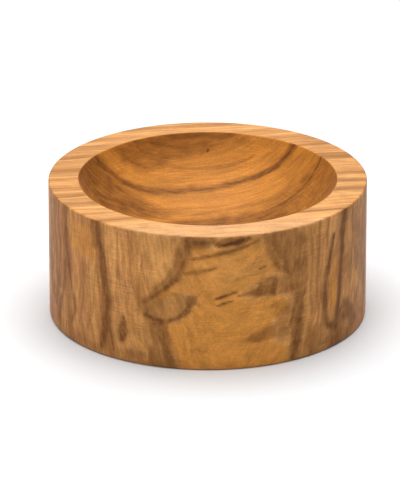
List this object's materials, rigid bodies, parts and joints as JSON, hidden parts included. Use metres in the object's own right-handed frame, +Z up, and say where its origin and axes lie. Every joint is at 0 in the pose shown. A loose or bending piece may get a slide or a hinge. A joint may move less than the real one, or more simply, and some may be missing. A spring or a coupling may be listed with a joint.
{
  "type": "pinch bowl",
  "caption": "Small straight-sided turned wooden bowl with a broad flat rim and a deep rounded dish, for a pinch of salt, spice or sauce.",
  "frame": {"origin": "middle of the foot, on the surface that the bowl stands on", "axes": "+Z up along the bowl's own axis, +X along the wood's fibres, -Y towards the front of the bowl"},
  "size_m": [0.09, 0.09, 0.04],
  "materials": {
    "olive_wood": "satin"
  },
  "bodies": {
    "root": {"bowl": "olive_wood"}
  },
  "joints": []
}
